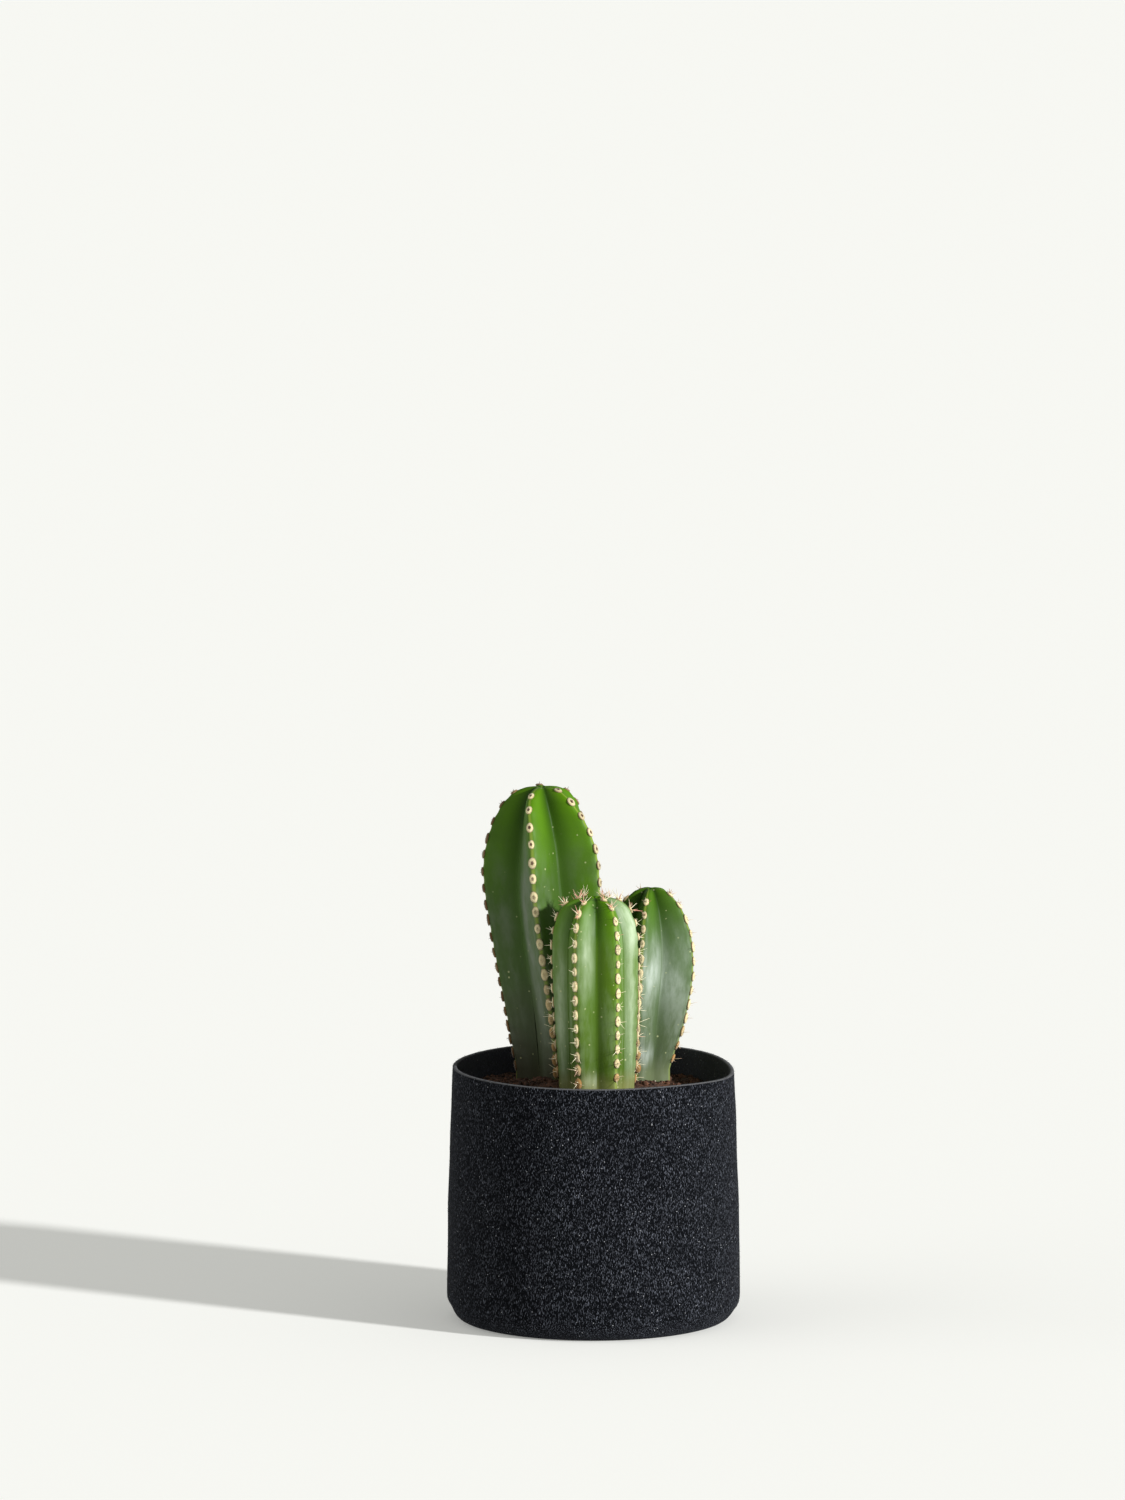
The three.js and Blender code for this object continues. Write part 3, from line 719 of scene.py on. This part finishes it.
# Living cactus skin: a waxy cuticle over green flesh, satin where light meets it, with a pale bloom of wax
# that fades the old parts to grey and corky freckles that come with age. Its pores are far too fine to show,
# so its grain is drawn at 0.7 mm.
def makeSkinMaterial(stem):
    material, tree, shader = newMaterial(stem["name"] + "Cuticle", IOR=1.45, Specular_IOR_Level=0.15)
    where = addNode(tree, "TexCoord").outputs["Object"]
    rise = addNode(tree, "Attribute", attribute_name="rise").outputs["Fac"]
    crest = addNode(tree, "Attribute", attribute_name="nearCrest").outputs["Fac"]
    tint = addNode(tree, "Attribute", attribute_name="ribTintAndPaintedShade").outputs["Fac"]
    streakWidth, streakLength = cuticle["streakSize"]
    laid = addNode(tree, "Mapping", {"Vector": addNode(tree, "UVMap", uv_map="skin").outputs[0],
                                     "Scale": (1 / streakWidth, 1 / streakLength, 1)})
    clouds = addNode(tree, "TexNoise", {"Vector": where, "Scale": 1 / (cuticle["cloudSize"] * mm),
                                        "Detail": 4, "Roughness": 0.55})
    streaks = addNode(tree, "TexNoise", {"Vector": laid.outputs[0], "Scale": 1, "Detail": 4,
                                         "Roughness": 0.6})
    # the age of the skin, with a cloudy border
    shift = addNode(tree, "MapRange", {"Value": clouds.outputs[0], "To Min": -cuticle["ageShift"],
                                       "To Max": cuticle["ageShift"]})
    aged = addNode(tree, "Math", {0: rise, 1: shift.outputs[0]}, operation="ADD")
    youngStart, youngFull = stem["youngFrom"]
    grown = addNode(tree, "MapRange", {"Value": aged.outputs[0], "From Min": 0.02, "From Max": youngStart},
                    interpolation_type="SMOOTHSTEP")
    fresh = addNode(tree, "MapRange", {"Value": aged.outputs[0], "From Min": youngStart,
                                       "From Max": youngFull}, interpolation_type="SMOOTHSTEP")
    green = addNode(tree, "Mix", {0: grown.outputs[0], 6: linearColour(stem["old"]),
                                  7: linearColour(stem["mid"])}, data_type="RGBA")
    green = addNode(tree, "Mix", {0: fresh.outputs[0], 6: green.outputs[2],
                                  7: linearColour(stem["young"])}, data_type="RGBA")
    # deep green in the young grooves, and painted shade in every groove
    inGroove = addNode(tree, "MapRange", {"Value": crest, "From Min": cuticle["grooveReach"], "From Max": 0},
                       interpolation_type="SMOOTHSTEP")
    younger = addNode(tree, "MapRange", {"Value": fresh.outputs[0], "To Min": cuticle["leastPaintedGrooveShade"]})
    deepGreenAndPaintedShade = addNode(tree, "Math", {0: inGroove.outputs[0], 1: younger.outputs[0]}, operation="MULTIPLY")
    green = addNode(tree, "Mix", {0: deepGreenAndPaintedShade.outputs[0], 6: green.outputs[2],
                                  7: linearColour(stem["deepGreenAndPaintedShade"])}, data_type="RGBA")
    # wax bloom in streaks on the flanks, and a few denser pale patches of wax and painted sheen highlights
    middle = addNode(tree, "MapRange", {"Value": crest, "From Min": 0.05, "From Max": 0.5},
                     interpolation_type="SMOOTHSTEP")
    waxTop, waxFull = cuticle["waxTop"]
    off = addNode(tree, "MapRange", {"Value": rise, "From Min": waxTop, "From Max": waxFull},
                  interpolation_type="SMOOTHSTEP")
    veil = addNode(tree, "MapRange", {"Value": streaks.outputs[0], "From Min": 0.38, "From Max": 0.7,
                                      "To Max": stem["bloomAmount"]}, interpolation_type="SMOOTHSTEP")
    veil = addNode(tree, "Math", {0: veil.outputs[0], 1: middle.outputs[0]}, operation="MULTIPLY")
    veil = addNode(tree, "Math", {0: veil.outputs[0], 1: off.outputs[0]}, operation="MULTIPLY")
    # the pale patches: wax bloom, and painted sheen highlights
    patch = addNode(tree, "Attribute", attribute_name="waxAndPaintedSheen").outputs["Fac"]
    dimming = addNode(tree, "MapRange", {"Value": streaks.outputs[0], "From Min": 0.3, "From Max": 0.6,
                                      "To Min": cuticle["wornPatch"]})
    patch = addNode(tree, "Math", {0: patch, 1: dimming.outputs[0]}, operation="MULTIPLY")
    veil = addNode(tree, "Math", {0: veil.outputs[0], 1: patch.outputs[0]}, operation="ADD", use_clamp=True)
    waxy = addNode(tree, "Mix", {0: veil.outputs[0], 6: green.outputs[2],
                                 7: linearColour(stem["bloom"])}, data_type="RGBA")
    # each rib is a little lighter or darker, and the tall stem's rib on the shaded left is darker still:
    # painted shade
    toned = addNode(tree, "HueSaturation", {"Value": tint, "Color": waxy.outputs[2]})
    # brown and corky where the stem leaves the soil
    waver = addNode(tree, "MapRange", {"Value": clouds.outputs[0], "To Min": -cuticle["corkShift"],
                                       "To Max": cuticle["corkShift"]})
    corkEdge = addNode(tree, "Math", {0: rise, 1: waver.outputs[0]}, operation="ADD")
    cork = addNode(tree, "MapRange", {"Value": corkEdge.outputs[0], "From Min": cuticle["corkTop"],
                                      "From Max": 0, "To Max": cuticle["corkAmount"]})
    footed = addNode(tree, "Mix", {0: cork.outputs[0], 6: toned.outputs[0],
                                   7: linearColour(stem["foot"])}, data_type="RGBA")
    # freckles of cork, 0.2 to 0.7 mm
    cells = addNode(tree, "TexVoronoi", {"Vector": where, "Scale": 1 / (cuticle["freckleSpacing"] * mm)})
    rare = addNode(tree, "SeparateColor", {"Color": cells.outputs["Color"]})
    picked = addNode(tree, "Math", {0: rare.outputs[0], 1: stem["freckles"]}, operation="GREATER_THAN")
    smallest, largest = cuticle["freckleSizes"]
    size = addNode(tree, "MapRange", {"Value": rare.outputs[1], "To Min": smallest, "To Max": largest})
    dots = addNode(tree, "MapRange", {"Value": cells.outputs["Distance"], "From Min": size.outputs[0],
                                      "From Max": 0})
    freckles = addNode(tree, "Math", {0: dots.outputs[0], 1: picked.outputs[0]}, operation="MULTIPLY")
    freckled = addNode(tree, "Mix", {0: freckles.outputs[0], 6: footed.outputs[2],
                                     7: linearColour(cuticle["freckle"])}, data_type="RGBA")
    # a thin pale seam runs along each crest between the areoles
    seamStart, seamFull, seamAmount = cuticle["seam"]
    seam = addNode(tree, "MapRange", {"Value": crest, "From Min": seamStart, "From Max": seamFull,
                                      "To Max": seamAmount})
    seamed = addNode(tree, "Mix", {0: seam.outputs[0], 6: freckled.outputs[2],
                                   7: linearColour(cuticle["seamColour"])}, data_type="RGBA")
    tree.links.new(seamed.outputs[2], shader.inputs["Base Color"])
    # wax is duller than bare skin
    bare, waxed = cuticle["roughness"]
    rough = addNode(tree, "MapRange", {"Value": veil.outputs[0], "To Min": bare, "To Max": waxed})
    tree.links.new(rough.outputs[0], shader.inputs["Roughness"])
    pores = addNode(tree, "TexNoise", {"Vector": where, "Scale": cuticle["poresPerMillimetre"] / mm,
                                       "Detail": 2})
    grain = addNode(tree, "Math", {0: pores.outputs[0], 1: 0.5}, operation="MULTIPLY")
    relief = addNode(tree, "Math", {0: grain.outputs[0], 1: freckles.outputs[0]}, operation="ADD")
    bump = addNode(tree, "Bump", {"Height": relief.outputs[0], "Strength": 0.35,
                                  "Distance": cuticle["relief"] * mm})
    tree.links.new(bump.outputs[0], shader.inputs["Normal"])
    return material


# Areole wool: cream felted hair, brown where the spines leave it and stained by the soil when old.
areoleWool = {
    "hairsPerMillimetre": 1.5, "relief": 0.2,  # real hairs are too fine to show, so these are coarser
    "cream": ("#c2ab70", "#f2ecc6"), "stained": ("#8a5722", "#d3ab68"), "dimming": "#5b4c36",
    "dot": "#4e2f1d", "margin": "#704a22", "oldDot": 0.25, "marginPaintedShadeAmount": 0.75,
}


def makeWool(stem):
    material, tree, shader = newMaterial(stem["name"] + "Wool", Roughness=0.9, Sheen_Weight=0.3,
                                         Specular_IOR_Level=0.2)
    where = addNode(tree, "TexCoord").outputs["Object"]
    age = addNode(tree, "Attribute", attribute_name="age").outputs["Fac"]
    middle = addNode(tree, "Attribute", attribute_name="middle").outputs["Fac"]
    dimming = addNode(tree, "Attribute", attribute_name="dimming").outputs["Fac"]
    hairs = addNode(tree, "TexNoise", {"Vector": where, "Scale": areoleWool["hairsPerMillimetre"] / mm,
                                       "Detail": 2})
    old = addNode(tree, "MapRange", {"Value": age, "From Min": stem["stainFrom"], "From Max": 1},
                  interpolation_type="SMOOTHSTEP")
    cream, stained = [
        addNode(tree, "Mix", {0: hairs.outputs[0], 6: linearColour(dark), 7: linearColour(light)},
                data_type="RGBA") for dark, light in (areoleWool["cream"], areoleWool["stained"])]
    wool = addNode(tree, "Mix", {0: old.outputs[0], 6: cream.outputs[2], 7: stained.outputs[2]},
                   data_type="RGBA")
    # the wool darkens to a grey brown: painted shade on the ribs turned from the light, with a little wear
    wool = addNode(tree, "Mix", {0: dimming, 6: wool.outputs[2], 7: linearColour(areoleWool["dimming"])},
                   data_type="RGBA")
    # the brown middle shows most where the wool is young
    fresh = addNode(tree, "MapRange", {"Value": age, "From Min": 0.55, "From Max": 0.25,
                                       "To Min": areoleWool["oldDot"], "To Max": stem["areoleBrown"]})
    dot = addNode(tree, "MapRange", {"Value": middle, "From Min": 0.42, "From Max": 0.72,
                                     "To Max": fresh.outputs[0]}, interpolation_type="SMOOTHSTEP")
    dotted = addNode(tree, "Mix", {0: dot.outputs[0], 6: wool.outputs[2],
                                   7: linearColour(areoleWool["dot"])}, data_type="RGBA")
    # a brown rim round each cushion: partly its own colour, partly painted contact shade
    margin = addNode(tree, "MapRange", {"Value": middle, "From Min": 0.2, "From Max": 0.02,
                                        "To Max": areoleWool["marginPaintedShadeAmount"]})
    edged = addNode(tree, "Mix", {0: margin.outputs[0], 6: dotted.outputs[2],
                                  7: linearColour(areoleWool["margin"])}, data_type="RGBA")
    tree.links.new(edged.outputs[2], shader.inputs["Base Color"])
    bump = addNode(tree, "Bump", {"Height": hairs.outputs[0], "Strength": 0.6,
                                  "Distance": areoleWool["relief"] * mm})
    tree.links.new(bump.outputs[0], shader.inputs["Normal"])
    return material


# Spines are dead horn-like fibre: satin, pale, and darker or pink towards the point.
def makeHorn(stem):
    material, tree, shader = newMaterial(stem["name"] + "Spine", Roughness=0.5, IOR=1.54)
    tip = addNode(tree, "Attribute", attribute_name="tip").outputs["Fac"]
    end = addNode(tree, "MapRange", {"Value": tip, "From Min": 0.5, "From Max": 1})
    colour = addNode(tree, "Mix", {0: end.outputs[0], 6: linearColour(stem["spineBase"]),
                                   7: linearColour(stem["spineTip"])}, data_type="RGBA")
    pink = addNode(tree, "Attribute", attribute_name="pink").outputs["Fac"]
    colour = addNode(tree, "Mix", {0: pink, 6: colour.outputs[2], 7: linearColour(stem["spinePink"])},
                     data_type="RGBA")
    tree.links.new(colour.outputs[2], shader.inputs["Base Color"])
    return material


for stem in allStems:
    prepareStem(stem)
skins = [makeSkin(stem) for stem in allStems]
trees = [BVHTree.FromBMesh(skin) for skin in skins]
for index, stem in enumerate(allStems):
    seats = areoleSeats(stem)
    others = [tree for tree in trees if tree is not trees[index]]
    finishPiece(stem["name"] + "Skin", skins[index], makeSkinMaterial(stem), node=stem["node"])
    finishPiece(stem["name"] + "Areoles", makeAreoles(stem, seats), makeWool(stem))
    finishPiece(stem["name"] + "Spines", makeSpines(stem, seats, others), makeHorn(stem))
print("stems done")

# The soil.
pottingSoil = {
    "edgeHeight": 116.5, "edgeStep": 2, "inset": 2.65,
    "heap": {"x": -12, "y": -4, "height": 8.8, "spread": 35},
    "lumpHeight": 0.5, "lumpWaves": {"x": 0.21, "y": 0.26, "slantX": 0.47, "slantY": 0.38},
    "roughness": {"depth": 1.5, "size": 5.5, "seed": 3, "middle": 0.1,
                  "fractal": (0.9, 2.1, 4)},  # falloff, step and octaves of its noise
    "rings": 48, "sides": 180, "openRadius": 69, "footShare": 0.8,
    "crumbs": {"count": 1700, "size": (0.5, 1.9), "seed": 41},
    "grit": {"count": 70, "size": (0.35, 0.8), "seed": 43},
    "fibres": {"count": 190, "length": (4, 12), "radius": 0.16, "taper": 3, "margin": 3,
               "rise": (-0.05, 0.12), "above": 0.5, "seed": 47},
    "batch": 100, "clodSize": 3.846, "relief": 0.8,
    # a dark and a light colour for each, and how late one turns into the other
    "colours": {"dampPeat": ("#33261f", "#5e4031", 0.42), "peatCrumb": ("#33261f", "#664534", 0.42),
                "paleGrit": ("#8d8373", "#c9c0ae", 0.4), "coirFibre": ("#4b2c1b", "#8a5a38", 0.45)},
}
crumbForm = {  # shares of the crumb's size, apart from its turn in radians
    "turn": 6.3, "smaller": (0.6, 1), "above": (-0.1, 0.45), "width": (0.7, 1.3), "length": (0.7, 1.2),
    "height": 0.75, "corners": (0.8, 1.2),
}


def soilHeight(x, y):
    heap, wave = pottingSoil["heap"], pottingSoil["lumpWaves"]
    away = math.hypot(x - heap["x"], y - heap["y"]) / heap["spread"]
    straight = math.sin(wave["x"] * x) * math.sin(wave["y"] * y)
    slanted = math.sin(wave["slantX"] * x - wave["slantY"] * y)
    heaped = pottingSoil["edgeHeight"] + heap["height"] * math.exp(-away * away / 2)
    return heaped + pottingSoil["lumpHeight"] * (straight + slanted)


def crumbly(x, y):
    rough = pottingSoil["roughness"]
    crumbs = noise.fractal(Vector((x, y, rough["seed"])) / rough["size"], *rough["fractal"])
    return soilHeight(x, y) + rough["depth"] * (crumbs - rough["middle"])


def makeSoil():
    top, step, rings = pottingSoil["edgeHeight"], pottingSoil["edgeStep"], pottingSoil["rings"]
    profile = potOutline(pottingSoil["inset"], top - step)
    edge = profile[-1][0]
    profile += [(edge * (1 - ring / rings), top) for ring in range(rings + 1)]
    bm = spun(profile, pottingSoil["sides"])
    for vert in bm.verts:
        radius, angle = math.hypot(vert.co.x, vert.co.y), math.atan2(vert.co.x, -vert.co.y)
        place = outward(angle) * (radius * (1 + potSway(angle, vert.co.z) / edge))
        place.z = crumbly(place.x, place.y) if vert.co.z > top - step / 2 else vert.co.z
        vert.co = place
    return bm


def openGround(rng, margin):  # a random place on the soil that no stem takes
    feet = [(Vector(stem["base"]), stem["crest"][0][0] * pottingSoil["footShare"]) for stem in allStems]
    while True:
        angle = rng.uniform(-math.pi, math.pi)
        place = outward(angle) * (pottingSoil["openRadius"] * math.sqrt(rng.random()))
        if all((place.xy - middle).length > radius + margin for middle, radius in feet):
            return place


def scatter(kind, makeOne):
    rng, batches = random.Random(kind["seed"]), []
    for start in range(0, kind["count"], pottingSoil["batch"]):
        bm = bmesh.new()
        for _ in range(min(pottingSoil["batch"], kind["count"] - start)):
            makeOne(bm, rng)
        batches.append(bm)
    return joinBatches(batches)


def makeCrumb(kind):
    def addCrumb(bm, rng):
        size = rng.uniform(*kind["size"]) * rng.uniform(*crumbForm["smaller"])
        place = openGround(rng, size)
        place.z = crumbly(place.x, place.y) + size * rng.uniform(*crumbForm["above"])
        angle = rng.uniform(0, crumbForm["turn"])
        turn = Matrix.Rotation(angle, 4, Vector([rng.gauss(0, 1) for _ in range(3)]))
        width, length = size * rng.uniform(*crumbForm["width"]), size * rng.uniform(*crumbForm["length"])
        shape = Matrix.Diagonal((width, length, size * crumbForm["height"], 1))
        made = bmesh.ops.create_icosphere(bm, subdivisions=1, radius=1)["verts"]
        for vert in made:
            corner = vert.co * rng.uniform(*crumbForm["corners"])
            vert.co = Matrix.Translation(place) @ turn @ shape @ corner
    return addCrumb


def addSoilFibre(bm, rng):
    kind = pottingSoil["fibres"]
    length = rng.uniform(*kind["length"])
    place = openGround(rng, kind["margin"])
    lay = rng.uniform(0, 2 * math.pi)
    direction = Vector((math.cos(lay), math.sin(lay), rng.uniform(*kind["rise"]))).normalized()
    if any((place + direction * length * side).xy.length > pottingSoil["openRadius"] for side in (-0.5, 0.5)):
        return
    place.z = crumbly(place.x, place.y) + kind["above"]
    bmesh.ops.create_cone(bm, cap_ends=True, segments=4, radius1=kind["radius"],
                          radius2=kind["radius"] / kind["taper"], depth=length,
                          matrix=aimed(place, direction))


# Peat and composted bark are dark and damp, and reddish where the bark shows. Pale mineral grit and brown
# coir lie among them, as dull as the peat.
def makeGround(name):
    dark, light, lightFrom = pottingSoil["colours"][name]
    material, tree, shader = newMaterial(name, Roughness=0.9, Specular_IOR_Level=0.3)
    where = addNode(tree, "TexCoord").outputs["Object"]
    clods = addNode(tree, "TexNoise", {"Vector": where, "Scale": 1 / (pottingSoil["clodSize"] * mm),
                                       "Detail": 5, "Roughness": 0.65})
    lighter = addNode(tree, "MapRange", {"Value": clods.outputs[0], "From Min": lightFrom,
                                         "From Max": lightFrom + 0.2})
    colour = addNode(tree, "Mix", {0: lighter.outputs[0], 6: linearColour(dark), 7: linearColour(light)},
                     data_type="RGBA")
    tree.links.new(colour.outputs[2], shader.inputs["Base Color"])
    bump = addNode(tree, "Bump", {"Height": clods.outputs[0], "Strength": 0.8,
                                  "Distance": pottingSoil["relief"] * mm})
    tree.links.new(bump.outputs[0], shader.inputs["Normal"])
    return material


finishPiece("soilBed", makeSoil(), makeGround("dampPeat"), node="soil")
finishPiece("soilCrumbs", scatter(pottingSoil["crumbs"], makeCrumb(pottingSoil["crumbs"])),
            makeGround("peatCrumb"), smooth=False)
finishPiece("soilGrit", scatter(pottingSoil["grit"], makeCrumb(pottingSoil["grit"])),
            makeGround("paleGrit"), smooth=False)
finishPiece("soilFibres", scatter(pottingSoil["fibres"], addSoilFibre), makeGround("coirFibre"))
print("soil done")

# Floor, light and camera.
studio = {
    "floorSize": 60000, "floor": "#e6e6e3", "floorGlow": 0.256,  # the glow keeps it as pale as the backdrop
    "suns": [  # a low key light at the front right, and a wide weak one at the left
        {"name": "keySun", "azimuth": 59, "elevation": 18, "strength": 5.0, "angle": 4},
        {"name": "fillSun", "azimuth": -75, "elevation": 25, "strength": 0.5, "angle": 60},
    ],
    "sky": "#f7f8f3", "skyStrength": 0.34, "skySeen": 0.93,  # as a light, and as the backdrop
}
camera = {"distance": 9000, "elevation": 10.6, "millimetresPerPixel": 0.5177, "origin": (594, 1316.8),
          "frame": (1125, 1500), "sensor": 36, "farthest": 100000}


def makeStudio():
    bm = bmesh.new()
    bmesh.ops.create_grid(bm, x_segments=1, y_segments=1, size=studio["floorSize"] / 2 * mm)
    mesh = bpy.data.meshes.new("floor")
    bm.to_mesh(mesh)
    bm.free()
    floor = bpy.data.objects.new("floor", mesh)
    bpy.context.collection.objects.link(floor)
    material, _, shader = newMaterial("paleFloorPaint", Roughness=1, Specular_IOR_Level=0)
    shader.inputs["Base Color"].default_value = linearColour(studio["floor"])
    shader.inputs["Emission Color"].default_value = linearColour(studio["sky"])
    shader.inputs["Emission Strength"].default_value = studio["floorGlow"]
    mesh.materials.append(material)

    world = bpy.data.worlds.new("studio")
    world.use_nodes = True
    tree = world.node_tree
    seen = addNode(tree, "LightPath").outputs["Is Camera Ray"]
    strength = addNode(tree, "MapRange", {"Value": seen, "To Min": studio["skyStrength"],
                                          "To Max": studio["skySeen"]})
    background = tree.nodes["Background"]
    background.inputs["Color"].default_value = linearColour(studio["sky"])
    tree.links.new(strength.outputs[0], background.inputs["Strength"])
    bpy.context.scene.world = world

    for given in studio["suns"]:
        sun = bpy.data.lights.new(given["name"], "SUN")
        sun.energy, sun.angle = given["strength"], math.radians(given["angle"])
        sunObject = bpy.data.objects.new(given["name"], sun)
        rise = math.radians(given["elevation"])
        toSun = outward(math.radians(given["azimuth"])) * math.cos(rise) + Vector((0, 0, math.sin(rise)))
        sunObject.rotation_euler = toSun.to_track_quat("Z", "Y").to_euler()
        bpy.context.collection.objects.link(sunObject)


def makeCamera():
    lens = bpy.data.cameras.new("camera")
    lens.sensor_width = camera["sensor"]
    pixels = camera["distance"] / camera["millimetresPerPixel"]
    lens.lens = pixels * camera["sensor"] / max(camera["frame"])
    lens.clip_end = camera["farthest"] * mm
    view = bpy.data.objects.new("camera", lens)
    tilt = math.radians(camera["elevation"])
    view.location = Vector((0, -math.cos(tilt), math.sin(tilt))) * camera["distance"] * mm
    # the pot's foot stands below and to the right of the middle of the picture
    down = math.atan((camera["origin"][1] - camera["frame"][1] / 2) / pixels)
    right = math.atan((camera["origin"][0] - camera["frame"][0] / 2) / pixels)
    view.rotation_euler = (math.pi / 2 - tilt + down, 0, right)
    bpy.context.collection.objects.link(view)
    bpy.context.scene.camera = view


makeStudio()
makeCamera()
bpy.context.scene.view_settings.view_transform = "Standard"
print("studio done")
